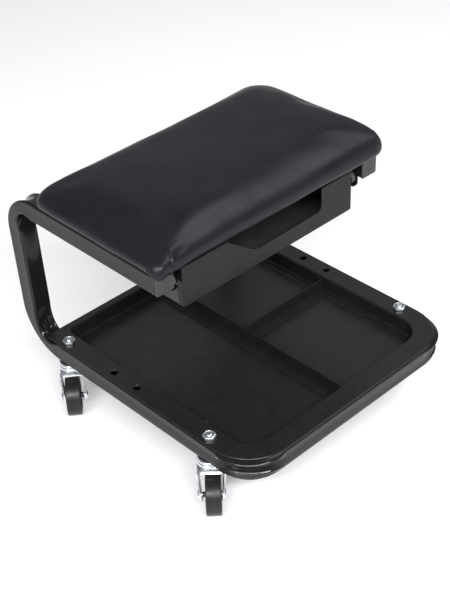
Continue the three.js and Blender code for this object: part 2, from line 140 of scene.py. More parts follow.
def rounded_rect(x, front, rear, front_r, rear_r, z, steps=20):
    """A level ring from -x to x and from front to rear, with its own radii at the front and the rear."""
    points = []
    for cx, cy, r, start in ((x - rear_r, rear - rear_r, rear_r, 0),
                             (rear_r - x, rear - rear_r, rear_r, 90),
                             (front_r - x, front + front_r, front_r, 180),
                             (x - front_r, front + front_r, front_r, 270)):
        for i in range(steps + 1):
            a = math.radians(start + 90 * i / steps)
            points.append(Vector((cx + r * math.cos(a), cy + r * math.sin(a), z)))
    return points


def arc(cx, cy, r, a0, a1, steps):
    """Points on a circular arc, angles in degrees."""
    turns = (math.radians(a0 + (a1 - a0) * i / steps) for i in range(steps + 1))
    return [(cx + r * math.cos(a), cy + r * math.sin(a)) for a in turns]


def prism(name, outline, y0, y1):
    """A flat outline of (x, z) pairs carried along Y."""
    n = len(outline)
    points = [Vector((x, y, z)) for y in (y0, y1) for x, z in outline]
    faces = [(i, (i + 1) % n, n + (i + 1) % n, n + i) for i in range(n)]
    faces += [tuple(range(n)), tuple(range(n, 2 * n))]
    return mesh_from(name, points, faces)


def sheet_outline(line, thick):
    """The closed outline of a bent sheet whose middle follows a line of (x, z) pairs."""
    near, far = [], []
    for i, point in enumerate(line):
        before, after = line[max(i - 1, 0)], line[min(i + 1, len(line) - 1)]
        along = Vector((after[0] - before[0], after[1] - before[1])).normalized()
        across = Vector((-along.y, along.x)) * thick / 2
        near.append((point[0] + across.x, point[1] + across.y))
        far.append((point[0] - across.x, point[1] - across.y))
    return near + far[::-1]


def applied(obj):
    """Bakes the object's modifiers into its mesh."""
    graph = bpy.context.evaluated_depsgraph_get()
    mesh = bpy.data.meshes.new_from_object(obj.evaluated_get(graph))
    obj.modifiers.clear()
    old, obj.data = obj.data, mesh
    bpy.data.meshes.remove(old)
    return obj


def merged(name, *parts):
    """One object holding the meshes of several."""
    bm = bmesh.new()
    for part in parts:
        bm.from_mesh(part.data)
        bpy.data.objects.remove(part)
    mesh = bpy.data.meshes.new(name)
    bm.to_mesh(mesh)
    bm.free()
    return new_object(name, mesh)


def carved(obj, *cutters):
    """Takes the cutters' shapes out of obj."""
    tool = merged("cutter", *cutters)
    cut = obj.modifiers.new("cut", "BOOLEAN")
    cut.operation, cut.solver, cut.object = "DIFFERENCE", "EXACT", tool
    applied(obj)
    bpy.data.objects.remove(tool)
    return obj


def shifted(obj, x, y, z=0):
    """Moves an object's mesh by so many millimetres."""
    obj.data.transform(Matrix.Translation((x * MM, y * MM, z * MM)))
    return obj


def hole(x, y, z0, z1, r):
    """A round cutter at (x, y), from z0 up to z1."""
    return shifted(lathe("hole", [(r, z0), (r, z1)], 32, closed=False), x, y)


def softened(obj, width, segments=2, angle=35):
    """Rounds the sharp edges a little, as real folded and cut edges are."""
    bevel = obj.modifiers.new("edges", "BEVEL")
    bevel.width = width * MM
    bevel.segments = segments
    bevel.limit_method = "ANGLE"
    bevel.angle_limit = math.radians(angle)
    bevel.harden_normals = True
    return obj


def smooth(obj, angle=35, flat=1.0):
    """Shades obj smooth below an angle in degrees, but not its faces over flat square centimetres."""
    obj.data.shade_smooth()
    obj.data.set_sharp_from_angle(angle=math.radians(angle))
    for face in obj.data.polygons:
        if face.area > flat * 1e-4:
            face.use_smooth = False
    return obj


def finished(obj, material, slot, body, *nodes):
    """Gives a new piece its material, its body, and the CAD nodes it stands for; the slot argument is not
    used.
    """
    obj.data.materials.clear()
    obj.data.materials.append(material)
    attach(obj, body)
    if nodes:
        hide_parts(*nodes)
    return obj


# ---- materials ---------------------------------------------------------------------------

class Shader:
    """A Principled material and short ways to wire procedural nodes into it."""

    def __init__(self, name, colour, roughness, metallic=0.0, specular=0.5):
        self.material = bpy.data.materials.new(name)
        self.material.use_nodes = True
        self.tree = self.material.node_tree
        self.bsdf = self.tree.nodes["Principled BSDF"]
        self.bsdf.inputs["Metallic"].default_value = metallic
        self.bsdf.inputs["Specular IOR Level"].default_value = specular
        self.bsdf.inputs["Base Color"].default_value = (*colour, 1)
        self.bsdf.inputs["Roughness"].default_value = roughness
        self.place = self.tree.nodes.new("ShaderNodeTexCoord").outputs["Object"]
        self.height = None

    def link(self, source, target):
        self.tree.links.new(source, target)

    def stretched(self, scale, turn=(0, 0, 0)):
        node = self.tree.nodes.new("ShaderNodeMapping")
        node.inputs["Scale"].default_value = scale
        node.inputs["Rotation"].default_value = turn
        self.link(self.place, node.inputs["Vector"])
        return node.outputs["Vector"]

    def noise(self, scale, detail=2.0, rough=0.5, distortion=0.0, vector=None):
        node = self.tree.nodes.new("ShaderNodeTexNoise")
        node.inputs["Scale"].default_value = scale
        node.inputs["Detail"].default_value = detail
        node.inputs["Roughness"].default_value = rough
        node.inputs["Distortion"].default_value = distortion
        self.link(vector or self.place, node.inputs["Vector"])
        return node.outputs["Fac"]

    def cells(self, scale):
        node = self.tree.nodes.new("ShaderNodeTexVoronoi")
        node.inputs["Scale"].default_value = scale
        self.link(self.place, node.inputs["Vector"])
        return node.outputs["Distance"]

    def waves(self, scale, axis, distortion, detail, vector):
        node = self.tree.nodes.new("ShaderNodeTexWave")
        node.bands_direction = axis
        node.inputs["Scale"].default_value = scale
        node.inputs["Distortion"].default_value = distortion
        node.inputs["Detail"].default_value = detail
        self.link(vector, node.inputs["Vector"])
        return node.outputs["Fac"]

    def ranged(self, value, lo, hi, to_lo=0.0, to_hi=1.0, smooth=False):
        """A value carried from the range lo to hi onto the range to_lo to to_hi."""
        node = self.tree.nodes.new("ShaderNodeMapRange")
        node.interpolation_type = "SMOOTHSTEP" if smooth else "LINEAR"
        for key, number in (("From Min", lo), ("From Max", hi), ("To Min", to_lo), ("To Max", to_hi)):
            node.inputs[key].default_value = number
        self.link(value, node.inputs["Value"])
        return node.outputs["Result"]

    def times(self, a, b):
        node = self.tree.nodes.new("ShaderNodeMath")
        node.operation = "MULTIPLY"
        self.link(a, node.inputs[0])
        self.link(b, node.inputs[1])
        return node.outputs["Value"]

    def axes(self):
        node = self.tree.nodes.new("ShaderNodeSeparateXYZ")
        self.link(self.place, node.inputs["Vector"])
        return node.outputs

    def colour(self, factor, a, b):
        """Makes the base colour run between a and b."""
        node = self.tree.nodes.new("ShaderNodeMix")
        node.data_type = "RGBA"
        self.link(factor, node.inputs["Factor"])
        for key, shade in (("A", a), ("B", b)):
            socket = next(s for s in node.inputs if s.name == key and s.type == "RGBA")
            socket.default_value = (*shade, 1)
        mixed = next(s for s in node.outputs if s.type == "RGBA")
        self.link(mixed, self.bsdf.inputs["Base Color"])

    def gloss(self, factor, lo, hi):
        """Makes the roughness run between lo and hi."""
        self.link(self.ranged(factor, 0.3, 0.7, lo, hi), self.bsdf.inputs["Roughness"])

    def bump(self, height, distance, strength):
        """Adds one layer of relief, with distance in millimetres."""
        node = self.tree.nodes.new("ShaderNodeBump")
        node.inputs["Strength"].default_value = strength
        node.inputs["Distance"].default_value = distance * MM
        self.link(height, node.inputs["Height"])
        if self.height:
            self.link(self.height, node.inputs["Normal"])
        self.height = node.outputs["Normal"]
        self.link(self.height, self.bsdf.inputs["Normal"])


def enamel(name, dark, light, roughness, polish=0.13, coat=0.4):
    """Black powder coat: a fine orange peel, slow waves and a faint change of shade."""
    s = Shader(name, dark, roughness, specular=0.04)
    s.bsdf.inputs["Coat Weight"].default_value = coat
    s.bsdf.inputs["Coat Roughness"].default_value = polish
    s.colour(s.ranged(s.noise(55, 4), 0.35, 0.65), dark, light)
    s.gloss(s.noise(28, 3), roughness - 0.05, roughness + 0.06)
    s.bump(s.noise(75, 2), 0.02, 0.5)
    s.bump(s.noise(900, 2, 0.6), 0.01, 0.5)
    return s.material


def zinc(name, roughness):
    """Bright zinc plate with a cloudy passivated look."""
    s = Shader(name, (0.7, 0.72, 0.75), roughness, metallic=1.0)
    s.colour(s.ranged(s.noise(140, 4), 0.35, 0.68), (0.74, 0.77, 0.81), (0.62, 0.65, 0.68))
    s.gloss(s.noise(260, 3), roughness - 0.05, roughness + 0.05)
    s.bump(s.noise(420, 3), 0.03, 0.12)
    return s.material


def vinyl():
    """Black upholstery vinyl with a leather grain and fine stretch creases over its front edge."""
    s = Shader("seat_vinyl", (0.005, 0.005, 0.008), 0.36, specular=0.17)
    s.colour(s.ranged(s.noise(30, 4), 0.3, 0.7), (0.0065, 0.0065, 0.0095), (0.0085, 0.0085, 0.0115))
    s.gloss(s.noise(22, 4), 0.29, 0.38)
    _, y, z = s.axes()
    front = s.times(s.ranged(y, -0.028, -0.066, smooth=True), s.ranged(z, 0.301, 0.313, smooth=True))
    spread = s.ranged(s.noise(14, 2), 0.38, 0.58, smooth=True)
    creases = s.waves(105, "X", 4.0, 2.0, s.stretched((1, 0.35, 0.35), (0, 0, 0.35)))
    s.bump(s.times(creases, s.times(front, spread)), 0.34, 0.6)
    s.bump(s.noise(38, 3, 0.6), 0.35, 0.4)
    s.bump(s.cells(850), 0.07, 0.45)
    s.bump(s.noise(1500, 2, 0.6), 0.02, 0.5)
    return s.material


def moulded(name, dark, light, roughness):
    """Moulded plastic with a matt spark texture."""
    s = Shader(name, dark, roughness)
    s.colour(s.ranged(s.noise(90, 3), 0.35, 0.65), dark, light)
    s.gloss(s.noise(70, 3), roughness - 0.06, roughness + 0.08)
    s.bump(s.noise(1300, 2), 0.02, 0.6)
    return s.material


def tread():
    """Hard black wheel, faintly scored round its rim; X is the wheel's axle in its own frame."""
    s = Shader("wheel_black", (0.009, 0.009, 0.01), 0.4, specular=0.3)
    rings = s.noise(1.0, 4, 0.7, vector=s.stretched((420, 6, 6)))
    s.colour(s.ranged(rings, 0.3, 0.7), (0.006, 0.006, 0.0075), (0.012, 0.0115, 0.013))
    s.gloss(s.noise(120, 3), 0.32, 0.46)
    s.bump(rings, 0.09, 0.5)
    s.bump(s.noise(900, 2), 0.02, 0.5)
    return s.material


def plywood():
    """Bare plywood with its grain along X."""
    s = Shader("ply_board", (0.42, 0.29, 0.17), 0.65)
    grain = s.noise(1.0, 6, 0.6, 0.6, s.stretched((9, 160, 160)))
    s.colour(s.ranged(grain, 0.3, 0.7), (0.50, 0.36, 0.22), (0.30, 0.19, 0.10))
    s.gloss(grain, 0.55, 0.75)
    s.bump(grain, 0.12, 0.5)
    return s.material


ENAMEL = enamel("black_enamel", (0.006, 0.0057, 0.0065), (0.008, 0.0075, 0.0083), 0.22)
TRAY = enamel("tray_enamel", (0.008, 0.0077, 0.0085), (0.01, 0.0095, 0.0103), 0.3, 0.3, 0.5)
FACE = enamel("face_enamel", (0.007, 0.0067, 0.0075), (0.009, 0.0085, 0.0093), 0.24, 0.16, 0.24)
RUNNER = enamel("runner_enamel", (0.005, 0.005, 0.005), (0.008, 0.008, 0.008), 0.34)
ZINC = zinc("bright_zinc", 0.25)
DULL_ZINC = zinc("dull_zinc", 0.4)
DRAWER = enamel("drawer_enamel", (0.022, 0.022, 0.023), (0.027, 0.027, 0.028), 0.3)
VINYL = vinyl()
CAP = moulded("cap_plastic", (0.013, 0.013, 0.014), (0.018, 0.018, 0.019), 0.42)
NYLON = moulded("nut_nylon", (0.05, 0.07, 0.085), (0.06, 0.08, 0.095), 0.4)
ROLLER = moulded("roller_plastic", (0.035, 0.035, 0.035), (0.05, 0.05, 0.048), 0.5)
WHEEL = tread()
BOARD = plywood()


# ---- frame tube --------------------------------------------------------------------------

def tube_outline(half, corner):
    """The tube's outline as (u, v) pairs, with points along each face as well as its corners."""
    flat = half - corner
    points = []
    for k in range(4):
        steps = 28 if k == 0 else 16
        across = (flat * (2 * i / steps - 1) for i in range(steps))
        face = [(half - DISH * (1 - (s / flat) ** 2), s) for s in across]
        face += arc(flat, flat, corner, 0, 90, 4)[:-1]
        c, s = (1, 0, -1, 0)[k], (0, 1, 0, -1)[k]
        points += [(p * c - q * s, p * s + q * c) for p, q in face]
    return points


class Path:
    """Places along the tube: position, section axes, and how a bend has crushed the section."""

    def __init__(self):
        start = Vector((-TRACK_X, RAIL_END_Y, RAIL_Z))
        self.places = [(start, Vector((-1, 0, 0)), Vector((0, 0, 1)), None)]

    def straight(self, length):
        at, u, v, _ = self.places[-1]
        self.places.append((at - v.cross(u) * length, u, v, None))

    def bend(self, kind, radius, angle, backwards=False):
        at, u, v, _ = self.places[-1]
        out = u if kind == "front" else v
        centre = at - out * radius
        axis = -v if kind == "front" else u
        steps = 64 if kind == "foot" else 40
        for i in range(1, steps + 1):
            turn = Matrix.Rotation(angle * i / steps, 3, axis)
            t = 1 - i / steps if backwards else i / steps
            self.places.append((centre + turn @ (at - centre), turn @ u, turn @ v, (kind, t)))


def tube_path():
    foot_top = BASE_Z + FOOT_BEND * (1 - math.sin(POST_LEAN))
    rail_bend_z = RAIL_Z - RAIL_BEND * (1 + math.sin(POST_LEAN))
    post = (rail_bend_z - foot_top) / math.cos(POST_LEAN)
    post_top_y = FOOT_BEND_Y + FOOT_BEND * math.cos(POST_LEAN) + post * math.sin(POST_LEAN)
    rail = post_top_y - RAIL_BEND * math.cos(POST_LEAN) - RAIL_END_Y
    side = FOOT_BEND_Y - FRONT_RUN_Y - FRONT_BEND
    quarter = math.pi / 2
    path = Path()
    path.straight(rail)
    path.bend("rail", RAIL_BEND, quarter + POST_LEAN)
    path.straight(post)
    path.bend("foot", FOOT_BEND, quarter - POST_LEAN)
    path.straight(side)
    path.bend("front", FRONT_BEND, quarter)
    path.straight(2 * (TRACK_X - FRONT_BEND))
    path.bend("front", FRONT_BEND, quarter)
    path.straight(side)
    path.bend("foot", FOOT_BEND, quarter - POST_LEAN, backwards=True)
    path.straight(post)
    path.bend("rail", RAIL_BEND, quarter + POST_LEAN, backwards=True)
    path.straight(rail)
    return path.places


# kind: how far the inner wall goes in, how far the outer wall flattens, the depth of its groove
CRUSH = {"front": (7.0, 0.0, 0.0), "foot": (14.0, 2.3, 2.2), "rail": (11.0, 1.6, 5.6)}
# distance below the middle of the outer wall of a front bend, half width and outward move of each
# ridge and groove
FRONT_RIDGES = ((-8.8, 2.7, 5.0), (-1.0, 3.6, -3.6), (7.4, 1.8, 2.8), (12.4, 1.6, 1.2))
# place across the inner wall of the foot bend, half width and height of each lengthwise fold
FOOT_FOLDS = ((8.6, 1.3, 2.6), (3.4, 1.5, 4.2), (-3.0, 1.7, 4.8), (-8.4, 1.3, 3.0))
# the powers that set how soon the press grows from the ends of a bend, and how far it is drawn
# towards one end of a foot bend
PRESS_POWER = {"front": 0.85, "foot": 1.15, "rail": 1.15}
FOOT_SKEW = 1.35
EDGE_BULGE = 0.6         # how far the two edges of a crushed wall spread
LIP_DROP = 4.4           # how far the lower wall of a front bend bellies down


def crushed(a, b, bend):
    """Where a section point goes in a bend: walls pressed in, edges left as ridges."""
    if bend is None:
        return a, b
    kind, t = bend
    crush, flat, groove = CRUSH[kind]
    phase = t ** FOOT_SKEW if kind == "foot" else t
    press = math.sin(math.pi * phase) ** PRESS_POWER[kind] if 0 < t < 1 else 0.0
    out, side = (a, b) if kind == "front" else (b, a)
    depth = (HALF - out) / (2 * HALF)
    middle = max(0.0, 1 - (side / (HALF - 1.6)) ** 2)
    outer = max(0.0, 1 - depth) ** 6
    inner = depth ** 5
    moved = out + crush * press * (0.72 * depth + 0.48 * inner * middle)
    moved -= press * outer * (flat + groove * middle ** 1.4)
    if kind == "front":
        moved += press * outer * sum(shift * bell(side, at, width) for at, width, shift in FRONT_RIDGES)
    if kind == "foot":
        low = ramp(t, 0.3, 0.52) * (1 - ramp(t, 0.93, 1))
        for at, width, rise in FOOT_FOLDS:
            moved -= rise * inner * low * bell(side + 2.5 * (t - 0.7), at, width)
    edge = HALF * 0.9
    if abs(side) > edge:
        side += math.copysign(EDGE_BULGE * press * 4 * depth * (1 - depth), side)
    if kind == "front" and side > edge:
        side += LIP_DROP * press ** 2 * max(0.0, 1 - (2.2 * depth - 0.5) ** 2)
    return (moved, side) if kind == "front" else (side, moved)


def frame_tube():
    places = tube_path()
    walls = []
    for half, corner in ((HALF, CORNER), (HALF - WALL, CORNER - WALL)):
        outline = tube_outline(half, corner)
        rings = []
        for at, u, v, bend in places:
            section = (crushed(a, b, bend) for a, b in outline)
            rings.append([at + u * a + v * b for a, b in section])
        walls.append(rings)
    outer, inner = walls
    tube = mesh_from("tube_frame", *skin(outer + inner[::-1], closed=True))
    reach = 2 * HALF
    cutters = []
    for x in (-TRACK_X, TRACK_X):
        cutters += [hole(x, y + PEG_SHIFT, BASE_Z, BASE_Z + reach, PEG_HOLE_R) for y in PEG_YS]
        cutters += [hole(x, y, BASE_Z - reach, BASE_Z + reach, STEM_HOLE_R) for y in STEM_YS]
        cutters += [hole(x, y, RAIL_Z - reach, RAIL_Z + reach, SCREW_HOLE_R) for y in SCREW_YS]
    carved(tube, *cutters)
    return finished(smooth(tube, 40, 50), ENAMEL, "enamel", "frame", "frame_tube")


# ---- tray --------------------------------------------------------------------------------

TRAY_X, TRAY_FRONT_Y, TRAY_REAR_Y = 151.6, -176.4, 146.2
TRAY_FRONT_R, TRAY_REAR_R = 31, 8
TRAY_FLOOR_Z, FLANGE_Z = 74.3, 94.3
FLANGE_X, FLANGE_FRONT_Y, FLANGE_REAR_Y = 178.3, -202.7, 157.3
FLANGE_FRONT_R, FLANGE_REAR_R = 57, 5
FLANGE_EDGE = 0.35       # the chamfer round the flange
# where the two dividers and the floor are spot welded
WELDS = ((-72, 137), (-9, 69), (-9, -9), (139.5, 69), (140, -19), (143, -87), (74, -18), (-137, 70),
         (-136, -18), (-135.5, -91))


def well_ring(offset, z):
    return rounded_rect(TRAY_X + offset, TRAY_FRONT_Y - offset, TRAY_REAR_Y + offset,
                        TRAY_FRONT_R + offset, max(TRAY_REAR_R + offset, 1), z)


def flange_ring(inset, z):
    return rounded_rect(FLANGE_X - inset, FLANGE_FRONT_Y + inset, FLANGE_REAR_Y - inset,
                        FLANGE_FRONT_R - inset, FLANGE_REAR_R - inset, z)


def tool_tray():
    bottom, under = TRAY_FLOOR_Z - SHEET, FLANGE_Z - SHEET
    outside = [(-4.2 + SHEET, bottom)] + arc(-3 + SHEET, bottom + 3, 3, -90, 0, 5)
    outside += arc(SHEET + 1.2, under - 1.2, 1.2, 180, 90, 4)
    inside = arc(2.4, FLANGE_Z - 2.4, 2.4, 90, 180, 6) + arc(-2, TRAY_FLOOR_Z + 2, 2, 0, -90, 5)
    rings = [well_ring(offset, z) for offset, z in outside]
    rings += [flange_ring(FLANGE_EDGE, under), flange_ring(0, under + FLANGE_EDGE),
              flange_ring(0, FLANGE_Z - FLANGE_EDGE), flange_ring(FLANGE_EDGE, FLANGE_Z)]
    rings += [well_ring(offset, z) for offset, z in inside]
    tray = mesh_from("tray", *skin(rings))
    peg_hole = [(PEG_HOLE_R, under - 3.1), (PEG_HOLE_R, FLANGE_Z - 0.4),
                (PEG_HOLE_R + 0.6, FLANGE_Z + 0.2)]
    dimple = [(0.5, TRAY_FLOOR_Z - 0.55), (1.9, TRAY_FLOOR_Z - 0.4), (3.1, TRAY_FLOOR_Z + 0.2)]
    cutters = [shifted(lathe("peg_hole", peg_hole, 32, False), x, y)
               for x in (-TRACK_X, TRACK_X) for y in PEG_YS]
    cutters += [shifted(lathe("dimple", dimple, 20, False), x, y) for x, y in WELDS]
    carved(tray, *cutters)
    return finished(smooth(tray, 32, 25), TRAY, "enamel", "frame", "tool_tray")


# ---- casters -----------------------------------------------------------------------------

AXLE_Z, TRAIL = 25.0, 21.0
AXLE_R, AXLE_HEAD = 2.9, 4.9             # the axle bolt's radius and half its head across flats
FORK_SHEET = 1.8
LEG_INSIDE_X, LEG_SPLAY = 12, 0.13       # a leg's inside at the axle, and its lean
EYE_R = 8                                # the round foot of a leg, about the axle
SHOULDER_Z, SHOULDER_R = 51.5, 5.2
LEG_TOP_Z = 53
CROWN_FRONT_Y, CROWN_R, CROWN_FLAT_X = -18.2, 15.5, 12
LIP_Y, LIP_RUN, LIP_DEPTH = -12, 6.2, 3.4        # where the crown's front turns down, and how far
WHEEL_R = 25
STEM_R = 4.0
STEM_NUT_Z = FLANGE_Z + 0.3
INSERT_R = 5.4                           # the bore in the stem nut that holds the nylon ring
NUT_STEPS = 60


def caster_place(corner):
    """The matrix from a caster's own frame, its wheel towards -Y, to where it stands."""
    x, y, _ = JOINTS[f"swivel_{corner}"]["pos_m"]
    axle = JOINTS[f"wheel_spin_{corner}"]["axis"]
    return Matrix.Translation((x, y, 0)) @ Matrix.Rotation(math.atan2(axle[1], axle[0]), 4, "Z")


def nut(name, apothem, bore, z0, z1, rim=0.2, sink=0.4):
    """A six-sided nut on the Z axis with chamfered ends; a bore of 0 makes a bolt head."""
    turns = [2 * math.pi * i / NUT_STEPS for i in range(NUT_STEPS)]
    radii = [apothem / math.cos(math.radians(math.degrees(a) % 60 - 30)) for a in turns]
    falls = [(r - apothem + 0.15) * 0.6 for r in radii]

    def hexagon(z, way):
        return [Vector((r * math.cos(a), r * math.sin(a), z + way * fall))
                for a, r, fall in zip(turns, radii, falls)]

    rings = [circle(apothem - 0.2, z0, NUT_STEPS), hexagon(z0, 1), hexagon(z1 - rim * 0.5, -1)]
    rings += [circle(apothem - rim * 0.35, z1 - rim * 0.2, NUT_STEPS), circle(apothem - rim, z1, NUT_STEPS)]
    if bore:
        countersink = ((bore + sink, z1), (bore + sink * 0.8, z1 - sink * 0.3), (bore, z1 - sink * 0.8))
        rings += [circle(r, z, NUT_STEPS) for r, z in (*countersink, (bore, z0))]
    return mesh_from(name, *skin(rings, closed=bool(bore)))


def thread(r, z0, z1, pitch, depth):
    """A (radius, z) profile of close grooves that stands for a screw thread."""
    turns = int((z1 - z0) / pitch)
    pairs = []
    for k in range(turns):
        z = z0 + (z1 - z0) * k / turns
        pairs += [(r, z), (r - depth, z + pitch / 2)]
    return pairs + [(r, z1)]


def on_axle(obj):
    """Turns what stands on the Z axis onto the wheel's axle."""
    obj.data.transform(Matrix.Rotation(math.pi / 2, 4, "Y"))
    return shifted(obj, 0, -TRAIL, AXLE_Z)


def leg_x(z):
    """The middle of a fork leg's sheet at height z."""
    return LEG_INSIDE_X + FORK_SHEET / 2 + (z - AXLE_Z) * LEG_SPLAY


def leg_edges(z):
    """Front and rear edges (y) of a fork leg at height z."""
    if z <= AXLE_Z - 3:
        reach = math.sqrt(max(0.0, EYE_R ** 2 - (z - AXLE_Z) ** 2))
        return -TRAIL - reach, -TRAIL + reach
    front = np.interp(z, [22, 25, 31, 40, 50, 53], [-28.4, -29, -27.3, -22.5, -18.6, -17.6])
    rear = np.interp(z, [22, 27, 38, 46, 51, 53], [-13.6, -9, 0.2, 7.2, 11, 11.5])
    return float(front), float(rear)


def fork_section():
    """The fork from foot to foot: (x, z, crown), with crown from 0 on the legs to 1 across the top."""
    half = [(leg_x(z), z, 0.0) for z in (17.02, 17.3, 18, 19, 20.5, 22, 24, 27, 31, 36, 41, 46, 51)]
    shoulder = arc(leg_x(SHOULDER_Z) - SHOULDER_R, SHOULDER_Z, SHOULDER_R, 0, 90, 7)
    half += [(x, z, i / 7) for i, (x, z) in enumerate(shoulder)]
    edge, top = shoulder[-1]
    half += [(edge * k / 6, top, 1.0) for k in range(5, 0, -1)]
    return half + [(0, top, 1.0)] + [(-x, z, crown) for x, z, crown in half[::-1]]


def fork():
    """Pressed fork: two splayed legs and a crown whose front edge turns down over the wheel."""
    section = fork_section()
    rows = 17
    points, faces = [], []
    for x, z, crown in section:
        front, rear = leg_edges(min(z, LEG_TOP_Z))
        front = front * (1 - crown) + crown * CROWN_FRONT_Y
        rear = rear * (1 - crown) + crown * math.sqrt(CROWN_R ** 2 - min(abs(x), CROWN_FLAT_X) ** 2)
        for j in range(rows):
            y = front + (rear - front) * (j / (rows - 1))
            drop = crown * LIP_DEPTH * max(0.0, (LIP_Y - y) / LIP_RUN) ** 2
            points.append(Vector((x, y, z - drop)))
    for i in range(len(section) - 1):
        for j in range(rows - 1):
            a = i * rows + j
            faces.append((a, a + 1, a + rows + 1, a + rows))
    sheet = mesh_from("fork", points, faces)
    solid = sheet.modifiers.new("sheet", "SOLIDIFY")
    solid.thickness = FORK_SHEET * MM
    solid.offset = 0
    solid.use_even_offset = True
    applied(sheet)
    axle_holes = on_axle(lathe("axle_holes", [(3.2, -30), (3.2, 30)], 24, closed=False))
    carved(sheet, hole(0, 0, 50, 62, STEM_HOLE_R), axle_holes)
    dome = lathe("dome", [(4.5, 57.2), (14.4, 57.2), (14.6, 57.9), (14.2, 58.7), (13, 59.2),
                          (11, 58.6), (9, 59.2), (4.5, 59.2)], 48)
    return smooth(merged("fork", sheet, dome), 50)


def caster_wheel():
    rim = [(3.3, 9.4), (5.2, 9.4), (6.0, 8.6), (7.2, 5.6), (8.6, 5.0), (16.8, 5.0), (18.2, 5.7),
           (19.4, 8.4), (20.2, 9.0), (23.2, 9.0)]
    edge = [(WHEEL_R - 1.6 + 1.6 * math.cos(a), 7.6 + 1.5 * math.sin(a))
            for a in (math.pi / 2 * (1 - k / 5) for k in range(6))]
    half = rim + edge + [(24.98, 5.0), (24.95, 0.5)]
    seam = [(25.0, 0.16), (25.0, -0.16)]
    return on_axle(lathe("wheel", half + seam + [(r, -z) for r, z in half[::-1]], 72))


def axle_bolt():
    shank = on_axle(lathe("shank", [(AXLE_R, -17.2), (AXLE_R, 15.2)], 32, False))
    return merged("axle_bolt", shank, on_axle(nut("head", AXLE_HEAD, 0, 14.7, 16.3)))


def axle_nut():
    return on_axle(nut("axle_nut", AXLE_HEAD, AXLE_R + 0.2, -16.9, -14.7))


def axle_sleeve():
    """The dark spacer tube on the axle between the hub and the fork."""
    return on_axle(lathe("sleeve", [(3.0, -11.2), (3.15, -11.2), (3.15, 11.2), (3.0, 11.2)], 24))


def race_cup():
    profile = [(4.4, 67.1), (13.6, 67.1), (14.9, 66.7), (15.6, 65.6), (15.5, 64.4), (15.1, 63.6),
               (15.3, 62.8), (16.0, 62.2), (16.5, 61.2), (16.6, 59.6), (16.4, 58.7), (15.9, 58.4),
               (15.4, 58.7), (15.3, 61), (14.4, 62.8), (13.4, 65), (4.4, 65)]
    return lathe("cup", profile, 60)


def stem_nut():
    """A thin nut with a rounded rim, and a wide bore for its nylon ring."""
    return nut("stem_nut", 7.1, INSERT_R, STEM_NUT_Z, STEM_NUT_Z + 3.8, rim=1.2, sink=0.3)


def nut_insert():
    """The nylon ring that locks the stem nut."""
    inner, outer = STEM_R + 0.1, INSERT_R - 0.05
    profile = [(inner, 0.2), (outer, 0.2), (outer, 3.1), (outer - 0.35, 3.3), (inner, 3.0)]
    return lathe("insert", [(r, STEM_NUT_Z + z) for r, z in profile])


def stem_bolt():
    """The stem, its head inside the race and the end of its thread above the nut."""
    profile = [(5.6, 52), (7.4, 52.6), (8, 53.6), (8, 55), (7.4, 55.4), (STEM_R, 55.4), (STEM_R, 92)]
    profile += thread(STEM_R, 93, 98, 1.25, 0.3)
    return lathe("bolt", profile + [(3.7, 98.6), (3.1, 99), (2, 99.2), (0.6, 99.2)], 40, closed=False)


def rolling_wheel(corner, place):
    """The wheel in a frame of its own on the axle, where the CAD's wheel stands along that axle."""
    vertices = NODES[f"wheel_{corner}"].data.vertices
    centre = sum((v.co for v in vertices), Vector()) / len(vertices)
    play = (place.inverted() @ centre).x
    wheel = caster_wheel()
    wheel.data.transform(Matrix.Translation((play, TRAIL * MM, -AXLE_Z * MM)))
    wheel.matrix_world = place @ Matrix.Translation((0, -TRAIL * MM, AXLE_Z * MM))
    wheel.name = f"caster_wheel_{corner}"
    finished(smooth(wheel, 45), WHEEL, "wheel_black", f"rolling_{corner}", f"wheel_{corner}")


def casters():
    for corner in CORNERS:
        place = caster_place(corner)
        swivel = f"swivel_{corner}"
        rolling_wheel(corner, place)
        # piece, its material, body and smoothing angle
        pieces = {
            "fork": (fork(), ZINC, swivel, 50),
            "axle_bolt": (axle_bolt(), ZINC, swivel, 30),
            "axle_nut": (axle_nut(), ZINC, swivel, 30),
            "stem_bolt": (stem_bolt(), DULL_ZINC, "frame", 40),
            "stem_nut": (stem_nut(), DULL_ZINC, "frame", 30),
            "race_cup": (race_cup(), ZINC, "frame", 50),
        }
        for name, (piece, material, body, angle) in pieces.items():
            piece.name = f"caster_{name}_{corner}"
            piece.data.transform(place)
            finished(smooth(piece, angle), material, "zinc", body, f"{name}_{corner}")
        for name, piece, material, body in (("nut_insert", nut_insert(), NYLON, "frame"),
                                            ("sleeve", axle_sleeve(), CAP, swivel)):
            piece.name = f"caster_{name}_{corner}"
            piece.data.transform(place)
            finished(smooth(piece), material, "cap_plastic", body)


# ---- drawer ------------------------------------------------------------------------------

# the hand cut-out in the drawer's face: its right edge and corner, then its low left end
CUT_RIGHT_X, CUT_CORNER_R, CUT_CORNER_Z = 86, 7, 258.6
CUT_LOW_X, CUT_LOW_Z, CUT_LEFT_X = -15, 249.8, -70
CHANNEL_INNER_X, CHANNEL_OUTER_X = 143.5, 153.4


